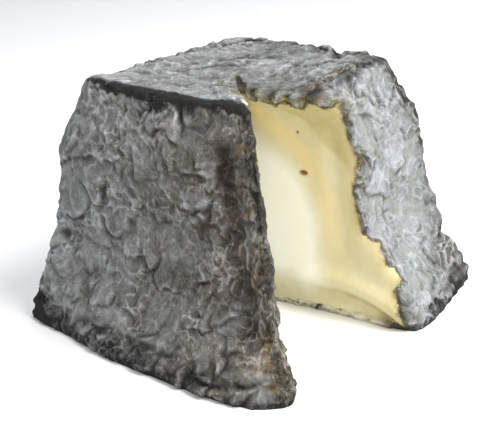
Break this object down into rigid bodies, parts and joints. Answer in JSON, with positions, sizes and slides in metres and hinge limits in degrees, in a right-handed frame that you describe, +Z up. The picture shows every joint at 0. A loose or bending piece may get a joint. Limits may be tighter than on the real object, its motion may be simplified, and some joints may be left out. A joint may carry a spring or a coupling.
{
  "type": "valencay cheese",
  "caption": "Ripe ash-rinded goat cheese, a wrinkled grey truncated pyramid with one eighth cut out, baring smooth ivory paste in the notch.",
  "frame": {"origin": "centre of the bounding box, on the flat foot that the cheese stands on", "axes": "+Z up, the four flanks facing -Y, +X, +Y and -X; the missing eighth is between the middle of the +X flank and the +X -Y corner"},
  "size_m": [0.0854, 0.0848, 0.0565],
  "materials": {
    "cheese": "dry, wrinkled grey mould rind over ash; the two cut faces are smooth, slightly glossy ivory paste"
  },
  "bodies": {
    "root": {"cheese": "cheese"}
  },
  "joints": []
}
